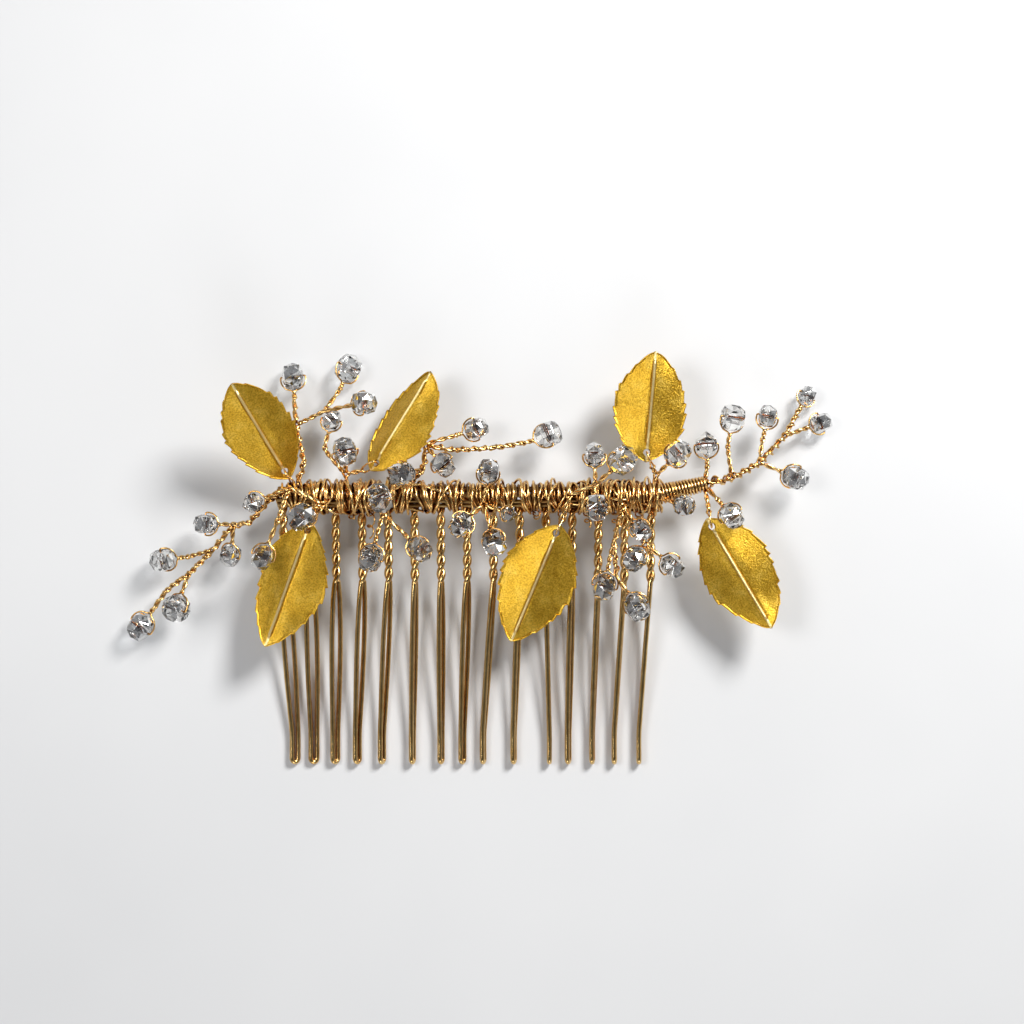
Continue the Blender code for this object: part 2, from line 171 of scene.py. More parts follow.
def rib_painted_highlight(nodes, links, coloured):
    """The colour given, with a painted highlight: a paler gold along a leaf's middle line, where its raised
    rib catches the light.
    """
    split = nodes.new("ShaderNodeSeparateXYZ")
    links.new(nodes["Place"].outputs["Object"], split.inputs["Vector"])
    away = nodes.new("ShaderNodeMath")
    away.operation = "ABSOLUTE"
    links.new(split.outputs["X"], away.inputs[0])
    span = add_span(nodes, links, away.outputs["Value"], 0.85, 0)
    span.inputs["From Min"].default_value = 0.12 * MM
    span.inputs["From Max"].default_value = 0.24 * MM
    mix = nodes.new("ShaderNodeMix")
    mix.data_type = "RGBA"
    links.new(span.outputs["Result"], mix.inputs["Factor"])
    links.new(coloured, mix.inputs["A"])
    mix.inputs["B"].default_value = (1, 0.84, 0.42, 1)
    return mix.outputs["Result"]


def leaf_gold():
    """Satin yellow gold sheet with a fine sandblasted grain, patches of deeper colour, a painted highlight
    along its rib and painted shade in its crevices.
    """
    material, nodes, links, finish = new_material("leaf_gold_satin")
    patches = add_noise(nodes, links, 260, 5, 0.65)
    golds = [(0.3, (0.66, 0.38, 0.03)), (0.5, (0.8, 0.5, 0.055)), (0.7, (0.9, 0.62, 0.11))]
    base = add_ramp(nodes, links, patches.outputs["Fac"], golds)
    grain = add_noise(nodes, links, 4200, 3, 0.7)
    speck = add_ramp(nodes, links, grain.outputs["Fac"], [(0.36, (0.6, 0.54, 0.42)), (0.6, (1, 1, 1))])
    coloured = multiply(nodes, links, base.outputs["Color"], speck.outputs["Color"])
    # Painted highlight: a pale gold stripe along the rib.
    coloured = rib_painted_highlight(nodes, links, coloured)
    # Painted shade: the colour darkens to brown in the leaf's crevices and beside its raised rib.
    painted_crevice_shade = shade_crevices(nodes, links, 0.8 * MM, [(0.2, (0.5, 0.3, 0.12)), (0.75, (1, 1, 1))])
    links.new(multiply(nodes, links, coloured, painted_crevice_shade), finish.inputs["Base Color"])
    finish.inputs["Metallic"].default_value = 1
    span = add_span(nodes, links, patches.outputs["Fac"], 0.27, 0.46)
    links.new(span.outputs["Result"], finish.inputs["Roughness"])
    add_bump(nodes, links, grain.outputs["Fac"], finish, 0.7, 0.1 * MM)
    return material


def crystal_glass():
    """Cut crystal. Some facets shine like mirrors, as its inner reflections do, and some have painted dark
    and grey reflections in their colour.
    """
    material, nodes, links, finish = new_material("crystal_glass")
    finish.inputs["IOR"].default_value = 1.7
    finish.inputs["Roughness"].default_value = 0.02
    place = nodes.new("ShaderNodeTexCoord")
    facing = nodes.new("ShaderNodeVectorMath")
    facing.operation = "SNAP"
    facing.inputs[1].default_value = (0.05, 0.05, 0.05)
    links.new(place.outputs["Normal"], facing.inputs[0])
    facet = nodes.new("ShaderNodeTexWhiteNoise")
    links.new(facing.outputs[0], facet.inputs["Vector"])
    # Painted reflection: random facets are coloured dark or grey, for the dark surroundings and inner
    # reflections they would show.
    painted_dark_reflection, painted_grey_reflection = (0.3, 0.3, 0.3), (0.66, 0.66, 0.65)
    clearest, pale = (0.97, 0.97, 0.96), (0.86, 0.86, 0.85)
    painted_facet_shades = [(0.0, painted_dark_reflection), (0.16, painted_grey_reflection), (0.32, clearest), (0.7, pale)]
    painted_facet_tone = add_ramp(nodes, links, facet.outputs["Value"], painted_facet_shades)
    painted_facet_tone.color_ramp.interpolation = "CONSTANT"
    links.new(painted_facet_tone.outputs["Color"], finish.inputs["Base Color"])
    shine = [(0.0, (0, 0, 0)), (0.66, (0.8, 0.8, 0.8))]
    mirror = add_ramp(nodes, links, facet.outputs["Value"], shine)
    mirror.color_ramp.interpolation = "CONSTANT"
    links.new(mirror.outputs["Color"], finish.inputs["Metallic"])
    finish.inputs["Transmission Weight"].default_value = 1
    let_light_through(nodes, links, finish)
    return material


def let_light_through(nodes, links, finish):
    """Makes a glass cast a grey shadow, not the black one of a solid."""
    rays = nodes.new("ShaderNodeLightPath")
    clear = nodes.new("ShaderNodeBsdfTransparent")
    clear.inputs["Color"].default_value = (0.55, 0.56, 0.57, 1)
    mix = nodes.new("ShaderNodeMixShader")
    links.new(rays.outputs["Is Shadow Ray"], mix.inputs["Fac"])
    links.new(finish.outputs["BSDF"], mix.inputs[1])
    links.new(clear.outputs["BSDF"], mix.inputs[2])
    links.new(mix.outputs["Shader"], nodes["Material Output"].inputs["Surface"])


def floor_paint():
    """Plain pale matt surface with a barely visible unevenness."""
    material, nodes, links, finish = new_material("pale_floor")
    cloud = add_noise(nodes, links, 12, 3)
    greys = [(0.3, (0.6, 0.607, 0.62)), (0.7, (0.64, 0.646, 0.657))]
    base = add_ramp(nodes, links, cloud.outputs["Fac"], greys)
    links.new(base.outputs["Color"], finish.inputs["Base Color"])
    finish.inputs["Roughness"].default_value = 0.55
    return material


# Pieces


def finish_piece(obj, material, body, nodes):
    obj.data.materials.clear()
    obj.data.materials.append(material)
    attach(obj, body)
    if nodes:
        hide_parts(*nodes)
    return obj


def round_wire(name, paths, radius, material, nodes=(), sides=3, widths=None):
    """One curve object with a round wire along each path; nodes are the CAD nodes it stands for."""
    curve = bpy.data.curves.new(name, "CURVE")
    curve.dimensions = "3D"
    curve.bevel_depth = radius
    curve.bevel_resolution = sides
    curve.use_fill_caps = True
    for path in paths:
        spline = curve.splines.new("POLY")
        spline.points.add(len(path) - 1)
        for point, place in zip(spline.points, path):
            point.co = (*place, 1)
        for point, width in zip(spline.points, widths or ()):
            point.radius = width
    obj = bpy.data.objects.new(name, curve)
    bpy.context.scene.collection.objects.link(obj)
    return finish_piece(obj, material, ROOT, nodes)


# Wires, from the middle lines of the CAD's square wires


def centre_line(node, sides=4):
    """The middle line of a CAD wire. Its rings are found layer by layer from one end."""
    mesh = frame["nodes"][node].data
    known, points, index = {}, [], []
    for vertex in mesh.vertices:
        key = tuple(round(value * 1e6) for value in vertex.co)
        if key not in known:
            known[key] = len(points)
            points.append(vertex.co.copy())
        index.append(known[key])
    joined = collections.defaultdict(set)
    for edge in mesh.edges:
        first, second = (index[corner] for corner in edge.vertices)
        if first != second:
            joined[first].add(second)
            joined[second].add(first)

    def layers(start):
        seen, layer, found = set(start), sorted(start), []
        while layer:
            found.append(layer)
            layer = sorted({near for one in layer for near in joined[one]} - seen)
            seen.update(layer)
        return found

    end = layers([0])[-1][0]
    close = sorted({end, *joined[end], *(far for near in joined[end] for far in joined[near])})
    ring = sorted(close, key=lambda one: (points[one] - points[end]).length)[:sides]
    middles = [sum((points[one] for one in layer), Vector()) / len(layer) for layer in layers(ring)]
    return middles if middles[0].x <= middles[-1].x else middles[::-1]


def tangents(points):
    """The direction of a smooth wire at each of its points, as long as its bends allow."""
    steps = [after - before for before, after in zip(points, points[1:])]
    ways = [steps[0] * 0.5]
    for before, after in zip(steps, steps[1:]):
        agreement = (1 + before.normalized().dot(after.normalized())) / 2
        way = before.normalized() + after.normalized()
        reach = min(before.length, after.length) * agreement
        ways.append(way.normalized() * reach if way.length > 1e-6 else Vector())
    return [*ways, steps[-1] * 0.5]


def between(start, end, way_start, way_end, share):
    """A point of the smooth bend from start to end."""
    square, cube = share**2, share**3
    return (
        start * (2 * cube - 3 * square + 1)
        + way_start * (cube - 2 * square + share)
        + end * (3 * square - 2 * cube)
        + way_end * (cube - square)
    )


def smooth_path(points, sample=BEND_SAMPLE):
    ways = tangents(points)
    path = []
    for number in range(len(points) - 1):
        start, end = points[number], points[number + 1]
        steps = max(2, math.ceil((end - start).length / sample))
        first, second = ways[number], ways[number + 1]
        path += [between(start, end, first, second, step / steps) for step in range(steps)]
    return [*path, points[-1]]


def tight_teeth(points):
    """The comb's middle line, with the two legs of each tooth wound closely where the CAD twists them."""
    placed = {number: [place] for number, place in enumerate(points)}
    feet = [
        number
        for number in range(1, len(points) - 1)
        if points[number].y < min(points[number - 1].y, points[number + 1].y)
    ]
    for foot in feet:
        step = 1
        while (points[foot - step - 1] - points[foot + step + 1]).length < 1.75 * MM:
            step += 1
        while step > 1:
            wind_tooth(points, placed, foot - step, foot + step)
            step -= 1
    return [place for number in range(len(points)) for place in placed[number]]


def wind_tooth(points, placed, down, up):
    """Winds one step of a tooth, if its legs turn there. Down and up number the legs' points above it."""
    above = (points[down] - points[up]) / 2
    below = (points[down + 1] - points[up - 1]) / 2
    start = math.atan2(above.z, above.x)
    turn = (math.atan2(below.z, below.x) - start + math.pi) % (2 * math.pi) - math.pi
    if abs(turn) < 0.8:
        return
    middle_above = (points[down] + points[up]) / 2
    middle_below = (points[down + 1] + points[up - 1]) / 2
    strands = []
    for part in range(9):
        angle = start + turn * part / 8
        arm = Vector((math.cos(angle), 0, math.sin(angle))) * TOOTH_TWIST_RADIUS
        middle = middle_above.lerp(middle_below, part / 8)
        strands.append((middle + arm, middle - arm))
    placed[down] = [first for first, _ in strands[:8]]
    placed[up] = [second for _, second in strands[7::-1]]
    placed[down + 1], placed[up - 1] = [strands[8][0]], [strands[8][1]]


def paired_runs(points):
    """{n: m} for each straight run n of an out-and-back wire and the run m that comes back beside it."""
    last = len(points) - 1
    found = []
    for out in range(last):
        for back in range(out + 2, last):
            near = (points[out] - points[back + 1]).length
            far = (points[out + 1] - points[back]).length
            if max(near, far) < 1.4 * MM and near + far < 2.1 * MM:
                found.append((near + far, out, back))
    partner = {}
    for _, out, back in sorted(found):
        if out not in partner and back not in partner:
            partner[out], partner[back] = back, out
    return partner


def ease(value):
    value = min(1.0, max(0.0, value))
    return value * value * (3 - 2 * value)


def twist_pair(line_a, line_b, length, seed):
    """Twists two strands that run side by side; both lines give a point for a share of the run."""
    steps = max(6, math.ceil(length / TWIST_SAMPLE))
    turns = max(1, round(length / TWIST_PITCH)) if length > 0.8 * MM else 0
    strand_a, strand_b = [], []
    for step in range(steps + 1):
        share = step / steps
        here_a, here_b = line_a(share), line_b(share)
        before, after = max(0.0, share - 0.01), min(1.0, share + 0.01)
        way = (line_a(after) + line_b(after) - line_a(before) - line_b(before)).normalized()
        middle = (here_a + here_b) / 2
        end_gap = min(share, 1 - share) * length
        window = ease(end_gap / (1.5 * MM))
        middle += noise.noise_vector(middle * 330 + Vector((seed, 0, 0))) * STEM_WANDER * window
        arm = (here_a - here_b) / 2
        arm -= way * arm.dot(way)
        inward = ease(end_gap / (0.7 * MM))
        reach = arm.length + (TWISTED_HALF_GAP - arm.length) * inward
        arm = Matrix.Rotation(2 * math.pi * turns * share, 3, way) @ (arm.normalized() * reach)
        strand_a.append(middle + arm)
        strand_b.append(middle - arm)
    return strand_a, strand_b


def hug_beads(points):
    """Brings the wire round each bead in close to it."""
    joints = [joint for joint in frame["joints"] if is_bead(joint)]
    beads = [(Vector(one["pos_m"]), Vector(one["axis"]), *bead_size(one)) for one in joints]
    hugged = []
    for place in points:
        for centre, axis, radius, half in beads:
            arm = place - centre
            if arm.length > radius + 0.95 * MM:
                continue
            along = arm.dot(axis)
            past_end = abs(along) - half - 0.24 * MM
            if past_end > 0:
                arm -= axis * math.copysign(past_end * 0.75, along)
            close = radius + 0.1 * MM
            if arm.length > close:
                arm *= (close + (arm.length - close) * 0.35) / arm.length
            place = centre + arm
        hugged.append(place)
    return hugged


def spray_path(points, seed):
    """(points, widths) of a spray's fine wire: its stems' two strands twisted, its loops thinner."""
    points = hug_beads(points)
    ways = tangents(points)
    partner = paired_runs(points)
    runs = {}

    def line(number, flipped):
        start, end = points[number], points[number + 1]
        first, second = ways[number], ways[number + 1]
        return lambda share: between(start, end, first, second, 1 - share if flipped else share)

    for out, back in partner.items():
        if out > back:
            continue
        length = (points[out + 1] - points[out]).length
        runs[out], strand = twist_pair(line(out, False), line(back, True), length, seed + out)
        runs[back] = strand[::-1]
    path = []
    widths = []
    for number in range(len(points) - 1):
        twisted = number in runs
        if not twisted:
            length = (points[number + 1] - points[number]).length
            steps = max(3, math.ceil(length / BEND_SAMPLE))
            bend = line(number, False)
            runs[number] = [bend(step / steps) for step in range(steps + 1)]
        path += runs[number][:-1]
        widths += [1.0 if twisted else LOOP_WIDTH] * (len(runs[number]) - 1)
    return [*path, points[-1]], [*widths, 1.0]


# Crystals

BICONES = ("crystal_right_4", "crystal_middle_9", "crystal_left_6")
DRUMS = ("crystal_middle_8", "crystal_middle_5", "crystal_right_5", "crystal_left_4")


def is_bead(joint):
    return joint["child"].startswith("crystal")


def bead_size(joint):
    """(radius, half length) of a bead about its hole, a little over its CAD node's."""
    centre, axis = Vector(joint["pos_m"]), Vector(joint["axis"]).normalized()
    spread = [vertex.co - centre for vertex in frame["nodes"][joint["child"]].data.vertices]
    radius = max((arm - axis * arm.dot(axis)).length for arm in spread)
    return radius * 1.08, max(abs(arm.dot(axis)) for arm in spread)


def bead_rings(radius, half, cut):
    """(radius, height, turned by half a facet) of each ring of corners, from one end to the other."""
    if cut == "bicone":
        up = [(0.42 * radius, half * 1.04, 0), (0.99 * radius, 0.05 * radius, 0)]
        return [*up, *[(out, -height, turn) for out, height, turn in reversed(up)]]
    if cut == "drum":
        table, shoulder = (0.42 * radius, half * 1.05, 0), (0.78 * radius, 0.7 * radius, 1)
        up = [table, shoulder, (0.97 * radius, 0.3 * radius, 0)]
        return [*up, *[(out, -height, turn) for out, height, turn in reversed(up)]]
    up = [(0.46 * radius, half, 0), (0.84 * radius, 0.54 * radius, 1)]
    return [*up, (radius, 0, 0), *[(out, -height, turn) for out, height, turn in reversed(up)]]


def bead_mesh(name, radius, half, hole, facets, cut):
    """A drilled, faceted bead about Z."""
    shape = bmesh.new()
    step = 2 * math.pi / facets

    def ring(out, height, turned):
        angles = [step * (n + turned / 2) for n in range(facets)]
        return [shape.verts.new((out * math.cos(one), out * math.sin(one), height)) for one in angles]

    spec = bead_rings(radius, half, cut)
    rings = [ring(*one) for one in spec]
    for lower, upper, one, two in zip(rings, rings[1:], spec, spec[1:]):
        for n in range(facets):
            after = (n + 1) % facets
            if one[2] == two[2]:
                shape.faces.new((lower[n], lower[after], upper[after], upper[n]))
            elif two[2]:
                shape.faces.new((lower[n], lower[after], upper[n]))
                shape.faces.new((lower[after], upper[after], upper[n]))
            else:
                shape.faces.new((lower[n], upper[after], upper[n]))
                shape.faces.new((lower[n], lower[after], upper[after]))
    top, bottom = ring(hole, half, 0), ring(hole, -half, 0)
    for n in range(facets):
        after = (n + 1) % facets
        shape.faces.new((rings[0][n], top[n], top[after], rings[0][after]))
        shape.faces.new((rings[-1][n], rings[-1][after], bottom[after], bottom[n]))
        shape.faces.new((top[n], bottom[n], bottom[after], top[after]))
    bmesh.ops.recalc_face_normals(shape, faces=shape.faces)
    edges = [edge for edge in shape.edges if edge.calc_face_angle(0) > 0.05]
    bmesh.ops.bevel(shape, geom=edges, offset=0.025 * MM, segments=1, affect="EDGES", profile=0.5)
    mesh = bpy.data.meshes.new(name)
    shape.to_mesh(mesh)
    shape.free()
    return mesh


def crystal(joint, number, material):
    """The cut crystal of one spinning joint, on the joint's axis and as big as its CAD node."""
    node = joint["child"]
    centre, axis = Vector(joint["pos_m"]), Vector(joint["axis"]).normalized()
    radius, half = bead_size(joint)
    cut = "bicone" if node in BICONES else "drum" if node in DRUMS else "round"
    facets = 8 if radius > 1.7 * MM else 6
    mesh = bead_mesh(node + "_cut", radius, half, 0.4 * MM, facets, cut)
    obj = bpy.data.objects.new(node + "_cut", mesh)
    bpy.context.scene.collection.objects.link(obj)
    spin = Matrix.Rotation(number * 0.7, 4, "Z")
    facing = axis.to_track_quat("Z", "Y").to_matrix().to_4x4()
    obj.matrix_world = Matrix.Translation(centre) @ facing @ spin
    return finish_piece(obj, material, node, [node])


# Leaves

LEAF_ROWS = 150
LEAF_COLUMNS = 26
LEAF_TEETH = 9
RIB_HALF = 0.21 * MM
LEAF_HOLE = 0.55 * MM
LEAF_SHEET = 0.26 * MM
# How much narrower a leaf's halves are than in the CAD, to swing clear of the wire beside it.
EDGE_TRIM = {"leaf_upper_middle": 0.55 * MM}


def leaf_half_width(share):
    """Half a leaf's width, as a share of its widest, from base to tip."""
    return math.sin(math.pi * min(1, share) ** 0.95) ** 0.68 if 0 < share < 1 else 0.0


def leaf_edge(share, side, seed):
    """How far the scalloped edge stands out (+) or in (-) from the smooth outline, in mm."""
    count = LEAF_TEETH + (2 * side + seed) % 3
    wander = 0.6 * noise.noise(Vector((share * 6, seed * 1.7, side * 4.1)))
    tooth = ((share * count + wander) % 1) ** 1.4
    depth = 0.42 + 0.4 * noise.noise(Vector((share * 9, seed + 5, side * 3)))
    swell = 0.75 * noise.noise(Vector((share * 2.7, seed * 2.3, side * 9 + 2)))
    fade = math.sin(math.pi * min(1, max(0, share))) ** 0.5
    return ((tooth - 0.6) * max(0.12, depth) + swell) * fade


def leaf_sheet(base, length, half_width, number):
    """A leaf's middle surface, with its hole open: X across it and Y from the hole to the tip."""
    shape = bmesh.new()
    rows = []
    for row in range(LEAF_ROWS + 1):
        share = row / LEAF_ROWS
        y = base + (length - base) * share
        line = []
        for column in range(-LEAF_COLUMNS, LEAF_COLUMNS + 1):
            part = abs(column) / LEAF_COLUMNS
            part = 0.65 * (1 - math.cos(math.pi * part)) / 2 + 0.35 * part
            side = 1 if column > 0 else 0
            width = half_width * leaf_half_width(share) + leaf_edge(share, side, number) * MM
            x = math.copysign(max(width, 0.02 * MM) * part, column)
            line.append(shape.verts.new((x, y, leaf_height(x, share, y, width, number))))
        rows.append(line)
    for below, above in zip(rows, rows[1:]):
        for n in range(2 * LEAF_COLUMNS):
            corners = (below[n], below[n + 1], above[n + 1], above[n])
            if any(corner.co.xy.length > LEAF_HOLE for corner in corners):
                shape.faces.new(corners)
    open_hole(shape)
    return shape


def leaf_piece(joint, number, material):
    """A stamped leaf: a serrated sheet folded along a raised rib, on its CAD leaf's hole and length."""
    node = joint["child"]
    hole, normal = Vector(joint["pos_m"]), Vector(joint["axis"]).normalized()
    spread = [vertex.co - hole for vertex in frame["nodes"][node].data.vertices]
    tip = max(spread, key=lambda arm: arm.length)
    along = (tip - normal * tip.dot(normal)).normalized()
    across = along.cross(normal)
    length = max(arm.dot(along) for arm in spread)
    base = min(arm.dot(along) for arm in spread)
    half_width = max(abs(arm.dot(across)) for arm in spread) - EDGE_TRIM.get(node, 0)
    shape = leaf_sheet(base, length, half_width, number)
    mesh = bpy.data.meshes.new(node + "_stamped")
    shape.to_mesh(mesh)
    shape.free()
    obj = bpy.data.objects.new(node + "_stamped", mesh)
    bpy.context.scene.collection.objects.link(obj)
    sheet = obj.modifiers.new("sheet", "SOLIDIFY")
    sheet.thickness = LEAF_SHEET
    sheet.offset = 0
    facing = Matrix((across, along, normal)).transposed().to_4x4()
    obj.matrix_world = Matrix.Translation(hole) @ facing
    obj.data.shade_smooth()
    obj.data.set_sharp_from_angle(angle=math.radians(50))
    return finish_piece(obj, material, node, [node])


def open_hole(shape):
    """Moves the corners left inside the wire's hole out to its round edge."""
    bmesh.ops.delete(shape, geom=[one for one in shape.verts if not one.link_faces], context="VERTS")
    for vertex in shape.verts:
        if vertex.co.xy.length < LEAF_HOLE:
            vertex.co.xy *= LEAF_HOLE / max(vertex.co.xy.length, 1e-9)


def leaf_height(x, share, y, width, seed):
    """Height of a leaf's middle surface: folded at the rib, with a raised rib and rim and soft waves."""
    fold = -0.26 * abs(x)
    rib_span = RIB_HALF * (1.15 - 0.4 * share)
    clear = ease((y - 1.1 * MM) / (0.5 * MM)) * ease((0.93 - share) / 0.03)
    rib = 0.36 * MM * math.sqrt(max(0.0, 1 - (x / rib_span) ** 2)) * clear
    groove = -0.08 * MM * math.exp(-(((x + rib_span * 1.4) / (0.15 * MM)) ** 2)) * clear
    side = min(1, abs(x) / (1.5 * MM))
    wave = noise.noise(Vector((x * 130, y * 130, seed * 3.1))) * 0.6 * MM * side
    rim = 0.17 * MM * ease((abs(x) - width + 0.28 * MM) / (0.16 * MM))
    curl = 8 * MM * max(0.0, share - 0.75) ** 2 * (0.8 if seed % 2 else -0.6)
    return fold + rib + groove + wave + rim + curl


# Binding

RAIL_IN_PITCHES = 14.08
BINDING_SEED = 11
# Where loose curls of wire hang, from the rail's middle, and how long they are, in mm.
HANGING_CURLS = (
    (-17.5, 1.6),
    (-14.6, 4.2),
    (10.6, 1.4),
    (14.5, 2.2),
    (18.4, 2.6),
    (22.6, 3.2),
    (26.2, 1.8),
)
# Stems with a strand wound loosely round them, from the rail to the fork nearest a crystal.
WOUND_STEMS = (
    ("left_spray_wire", "crystal_left_5"),
    ("right_lower_spray_wire", "crystal_right_15"),
    ("upper_left_spray_wire", "crystal_upper_1"),
    ("middle_spray_wire", "crystal_middle_5"),
)


def rail():
    """(left end, right end, middle) of the binding round the rail."""
    return RAIL_LOW.x, RAIL_HIGH.x, (RAIL_LOW + RAIL_HIGH) / 2


def round_rail(x, angle, out):
    """A point out from the rail's middle line; angle 0 faces +Y and a quarter turn faces up."""
    middle = rail()[2]
    return Vector((x, middle.y + out * math.cos(angle), middle.z + out * math.sin(angle)))


def into_gap(x, squeeze):
    """Moves x towards the middle of its gap between two teeth."""
    left, right, middle = rail()
    pitch = (right - left) / RAIL_IN_PITCHES
    gap = middle.x + (math.floor((x - middle.x) / pitch) + 0.5) * pitch
    return gap + (x - gap) * squeeze


def winding(rng, start_x, end_x, radius, pitch, loose):
    """One hand-wound wire round the rail, which bunches into the gaps between the teeth on its lower side."""
    steps = 16
    path = []
    x, slant, bulge, advance = start_x, 0.0, 0.0, pitch
    slant_to, bulge_to = 0.0, 0.0
    number = 0
    while x < end_x:
        if number % steps == 0:
            slant_to = rng.uniform(-1, 1) * loose
            bulge_to = rng.uniform(-0.3, 0.7) * loose
            advance = pitch * rng.uniform(0.35, 1.65)
        slant += (slant_to - slant) * 0.15
        bulge += (bulge_to - bulge) * 0.15
        x += advance / steps
        angle = 2 * math.pi * number / steps
        below = ease((-math.cos(angle) - 0.1) / 0.5)
        above = 1 - below
        across = x + (into_gap(x, 0.4) - x) * below + slant * math.sin(angle) * above
        path.append(round_rail(across, angle, radius + bulge * above))
        number += 1
    return path


def arch(rng, x):
    """A loose strand thrown over the rail on a slant, its two ends tucked into the binding."""
    drift = rng.uniform(-1, 1) * rng.uniform(1, 5.5) * MM
    start, end = rng.uniform(2.9, 4.2), rng.uniform(-0.9, 0.4)
    hump = rng.uniform(0.1, 1.0) * MM
    steps = 22
    path = []
    for step in range(steps + 1):
        share = step / steps
        bend = noise.noise(Vector((share * 2.5, x * 900, 3))) * 0.8 * MM
        out = 1.7 * MM + (0.55 * MM + hump) * math.sin(math.pi * share) ** 0.6
        across = x + drift * (share - 0.5) + bend
        path.append(round_rail(across, start + (end - start) * share, out))
    return path


def lengthwise(rng, start_x, end_x):
    """A strand that runs along the rail on the binding, wandering over its top."""
    steps = max(8, int((end_x - start_x) / (0.5 * MM)))
    seed = rng.uniform(0, 50)
    base = rng.uniform(0.9, 2.6)
    path = []
    for step in range(steps + 1):
        share = step / steps
        angle = base + 0.9 * noise.noise(Vector((share * 3, seed, 0)))
        lift = 0.7 * MM * math.sin(math.pi * share) ** 0.5
        out = 2.1 * MM + lift * (0.6 + noise.noise(Vector((share * 4, seed, 7))))
        path.append(round_rail(start_x + (end_x - start_x) * share, angle, out))
    return path


def curl(x, length, seed):
    """A loose end of wire that hangs from the binding between two teeth and winds up on itself."""
    steps = 60
    path = []
    for step in range(steps + 1):
        share = step / steps
        angle = 2 * math.pi * 2.3 * share + seed
        reach = (0.75 - 0.35 * share) * MM
        start = round_rail(x, math.pi, 1.7 * MM)
        down = -length * share + reach * math.cos(angle)
        path.append(start + Vector((reach * math.sin(angle), down, 0.6 * MM * math.sin(angle))))
    return path


def stem_ends():
    """The wires that lie along the rail under the binding."""
    left, right, _ = rail()
    paths = []
    for number in range(9):
        path = []
        for step in range(120):
            x = left - 0.6 * MM + (right - left + 1.2 * MM) * step / 119
            angle = 2 * math.pi * number / 9 + 0.35 * noise.noise(Vector((x * 90, number, 0)))
            out = 1.3 * MM + 0.12 * MM * noise.noise(Vector((x * 200, number, 5)))
            path.append(round_rail(x, angle, out))
        paths.append(path)
    return paths


def binding(bright, shaded_gold):
    """The rail's binding: a core of stem ends, a tight layer darkened with painted shade and loose bright
    strands.
    """
    left, right, middle = rail()
    rng = random.Random(BINDING_SEED)
    # Painted shade: the stem ends and the tight layer take the half-bright gold.
    round_wire("rail_stem_ends", stem_ends(), CORE_WIRE_RADIUS, shaded_gold)
    tight = [winding(rng, left, right, 1.8 * MM, 0.5 * MM, 0.15 * MM)]
    round_wire("rail_binding_tight", tight, BINDING_WIRE_RADIUS, shaded_gold, ["binding_wire"])
    left_end, right_start = left + 19 * MM, right - 16 * MM
    loose = [
        winding(rng, left, right, 2.05 * MM, 1.1 * MM, 0.6 * MM),
        winding(rng, left + 5 * MM, left + 21 * MM, 2.3 * MM, 1.3 * MM, 1.1 * MM),
        winding(rng, right_start, right + 1 * MM, 2.3 * MM, 1.3 * MM, 1.1 * MM),
    ]
    round_wire("rail_binding_loose", loose, BINDING_WIRE_RADIUS, bright)
    spans = (
        (left + 4 * MM, left_end, 32),
        (left_end, right_start, 22),
        (right_start, right + 1 * MM, 34),
    )
    arches = []
    for start, end, count in spans:
        arches += [arch(rng, rng.uniform(start, end)) for _ in range(count)]
    round_wire("rail_arches", arches, 0.2 * MM, bright)
    along = [
        lengthwise(rng, left + 16 * MM, left + 27 * MM),
        lengthwise(rng, left - 1 * MM, left + 9 * MM),
        lengthwise(rng, left + 4 * MM, left + 14 * MM),
        lengthwise(rng, right - 13 * MM, right - 2 * MM),
        lengthwise(rng, right - 8 * MM, right + 2 * MM),
    ]
    round_wire("rail_long_strands", along, 0.21 * MM, bright)
    curls = [
        curl(middle.x + x * MM, length * MM, n * 1.7) for n, (x, length) in enumerate(HANGING_CURLS)
    ]
    round_wire("loose_curls", curls, 0.13 * MM, bright)


def stem_to(points, target):
    """The stem of a spray from its root to the fork nearest target, as the middles of its runs."""
    runs = []
    for out, back in paired_runs(points).items():
        if out < back:
            runs.append(((points[out] + points[back + 1]) / 2, (points[out + 1] + points[back]) / 2))
    ends = [end for run in runs for end in run]
    goal = min(ends, key=lambda end: (end - target).length)
    chain = [goal]
    for _ in range(len(runs)):
        before = [run for run in runs if (run[1] - chain[-1]).length < 0.8 * MM]
        if not before:
            break
        runs.remove(before[0])
        chain.append(before[0][0])
    return chain[::-1]


def coil_round(path, first_radius, last_radius, pitch):
    """A close winding round a path, thinner towards its end."""
    total = sum((after - before).length for before, after in zip(path, path[1:]))
    turns = total / pitch
    coil, gone = [], 0.0
    for before, after in zip(path, path[1:]):
        way = (after - before).normalized()
        side = UP.cross(way).normalized()
        lift = way.cross(side)
        length = (after - before).length
        steps = max(1, round(16 * length / pitch))
        for step in range(steps):
            share = (gone + length * step / steps) / total
            angle = 2 * math.pi * turns * share
            out = first_radius + (last_radius - first_radius) * share
            around = side * math.cos(angle) + lift * math.sin(angle)
            coil.append(before.lerp(after, step / steps) + around * out)
        gone += length
    return coil


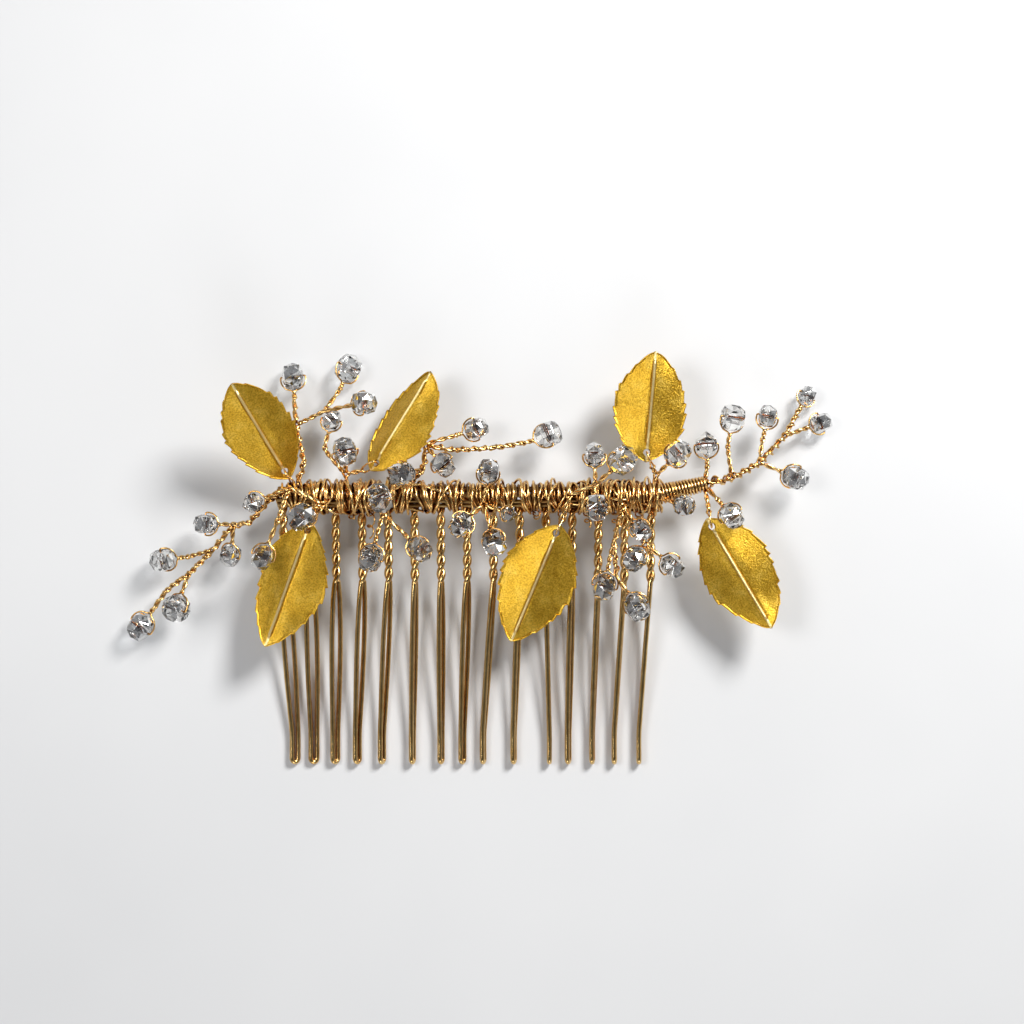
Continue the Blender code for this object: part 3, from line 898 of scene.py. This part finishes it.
def stem_binding(bright, shaded_gold):
    """The wound bundle of stems at the rail's right end, and strands wound loosely along the stems."""
    low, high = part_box("crystal_right_7")
    stem = stem_to(centre_line("right_spray_wire"), (low + high) / 2)
    bundle = smooth_path(stem[:3], 1 * MM)
    core = []
    for number in range(6):
        angle = 2 * math.pi * number / 6
        arm = Vector((0, math.cos(angle), math.sin(angle)))
        reach = [(1.15 - 0.6 * n / len(bundle)) * MM for n in range(len(bundle))]
        core.append([place + arm * out for place, out in zip(bundle, reach)])
    # Painted shade: the bundle's core wires take the half-bright gold.
    round_wire("stem_bundle", core, 0.28 * MM, shaded_gold)
    close = coil_round(bundle, 1.75 * MM, 1.0 * MM, 0.5 * MM)
    round_wire("stem_binding_tight", [close], BINDING_WIRE_RADIUS, bright, ["stem_binding_wire"])
    extra = [
        coil_round(smooth_path(stem[2:], 1 * MM), 0.62 * MM, 0.34 * MM, 1.5 * MM),
        coil_round(smooth_path(stem[1:4], 1 * MM), 1.5 * MM, 0.6 * MM, 2.3 * MM),
    ]
    for node, bead in WOUND_STEMS:
        low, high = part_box(bead)
        stem = smooth_path(stem_to(centre_line(node), (low + high) / 2), 1 * MM)
        extra.append(coil_round(stem, 0.5 * MM, 0.3 * MM, 1.7 * MM))
    round_wire("stem_strands", extra, 0.16 * MM, bright)


# Stage


def stage_floor():
    bpy.ops.mesh.primitive_plane_add(size=3, location=(0, 0, -FLOOR_DROP))
    floor = bpy.context.object
    floor.name = "floor"
    floor.data.materials.append(floor_paint())


def soft_light(name, place, target, size, power, colour):
    light = bpy.data.lights.new(name, "AREA")
    light.shape = "DISK"
    light.size = size
    light.energy = power
    light.color = colour
    obj = bpy.data.objects.new(name, light)
    bpy.context.scene.collection.objects.link(obj)
    obj.location = place
    obj.rotation_euler = (Vector(target) - Vector(place)).to_track_quat("-Z", "Y").to_euler()


def studio(centre):
    bpy.context.scene.view_settings.view_transform = "Standard"
    world = bpy.data.worlds.new("studio")
    bpy.context.scene.world = world
    world.use_nodes = True
    nodes, links = world.node_tree.nodes, world.node_tree.links
    place = nodes.new("ShaderNodeTexCoord")
    split = nodes.new("ShaderNodeSeparateXYZ")
    links.new(place.outputs["Generated"], split.inputs["Vector"])
    greys = [(0.0, (0.75, 0.76, 0.78)), (0.45, (0.5, 0.51, 0.53)), (0.95, (0.06, 0.06, 0.065))]
    sky = add_ramp(nodes, links, split.outputs["Z"], greys)
    links.new(sky.outputs["Color"], nodes["Background"].inputs["Color"])
    nodes["Background"].inputs["Strength"].default_value = 0.47
    soft_light("key", centre + Vector((0.22, 0.26, 0.3)), centre, 0.15, 2.9, (1, 0.99, 0.97))
    soft_light("left", centre + Vector((-0.21, 0.04, 0.35)), centre, 0.16, 0.62, (1, 0.99, 0.98))
    soft_light("front", centre + Vector((0.05, -0.4, 0.24)), centre, 0.25, 0.45, (1, 1, 1))


def camera(centre, distance, width):
    """Looks straight down from distance above centre; width is how wide a view it has there."""
    data = bpy.data.cameras.new("view")
    data.sensor_width = 36
    data.lens = 36 * distance / width
    data.clip_start = 0.01
    obj = bpy.data.objects.new("view", data)
    bpy.context.scene.collection.objects.link(obj)
    obj.location = centre + Vector((0, 0, distance))
    bpy.context.scene.camera = obj


def main():
    # Without this, noise_vector starts from the clock and the stems differ from run to run.
    noise.seed_set(STEM_WANDER_SEED)
    gold = wire_gold("comb_wire_gold", 0.2, 1.0)
    fine_gold = wire_gold("fine_wire_gold", 0.22, 1.1)
    # Painted shade: the same gold at half brightness, for the inner wires of the bindings that lie in shade.
    shaded_half_bright_gold = wire_gold("inner_wire_gold_painted_shade", 0.32, 0.5)
    leaf_finish = leaf_gold()
    glass = crystal_glass()

    comb = smooth_path(tight_teeth(centre_line("comb_wire")))
    round_wire("comb_wire_round", [comb], COMB_WIRE_RADIUS, gold, ["comb_wire"], 5)
    sprays = sorted(node for node in frame["nodes"] if node.endswith("spray_wire"))
    for number, node in enumerate(sprays):
        path, widths = spray_path(centre_line(node), number * 17)
        round_wire(node + "_twisted", [path], SPRAY_WIRE_RADIUS, fine_gold, [node], 3, widths)
    binding(fine_gold, shaded_half_bright_gold)
    stem_binding(fine_gold, shaded_half_bright_gold)
    for number, joint in enumerate(sorted(frame["joints"], key=lambda one: one["child"])):
        if is_bead(joint):
            crystal(joint, number, glass)
        else:
            leaf_piece(joint, number, leaf_finish)

    stage_floor()
    centre = rail()[2] + VIEW_CENTRE_FROM_RAIL
    studio(centre)
    camera(centre, CAMERA_DISTANCE, VIEW_WIDTH)


main()
